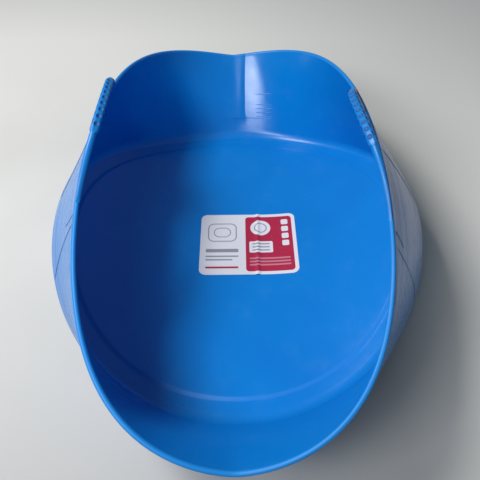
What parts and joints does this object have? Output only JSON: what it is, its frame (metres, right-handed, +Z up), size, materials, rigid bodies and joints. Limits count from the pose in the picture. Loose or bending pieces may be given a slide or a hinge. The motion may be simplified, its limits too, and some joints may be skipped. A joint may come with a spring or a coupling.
{
  "type": "flexible tub",
  "caption": "Flexible round tub of soft plastic for feed and yard work, with two moulded rim handles, its mouth squeezed in at the handles.",
  "frame": {"origin": "on the ground, under the middle of the tub's bounding box", "axes": "+Z up, +X towards the right handle, +Y along the squeezed mouth's length, towards the end away from the camera"},
  "size_m": [0.4446, 0.6599, 0.2306],
  "materials": {
    "tub_plastic": "satin, coloured through",
    "left_handle_plastic": "satin, coloured through",
    "right_handle_plastic": "satin, coloured through",
    "label_film": "printed film"
  },
  "bodies": {
    "tub": {"tub_shell": "tub_plastic", "label": "label_film"},
    "left_grip": {"left_handle": "left_handle_plastic"},
    "right_grip": {"right_handle": "right_handle_plastic"}
  },
  "joints": [
    {"name": "left_handle_flex", "type": "hinge", "parent": "tub", "child": "left_grip", "pos_m": [-0.15523, 0.01294, 0.19074], "axis": [0.0138, -0.9997, 0.0199], "range_deg": [-30, 25], "stiffness_Nm_per_rad": 2},
    {"name": "right_handle_flex", "type": "hinge", "parent": "tub", "child": "right_grip", "pos_m": [0.14564, -0.00404, 0.18823], "axis": [-0.0319, 0.9995, -0.0005], "range_deg": [-30, 25], "stiffness_Nm_per_rad": 2}
  ]
}
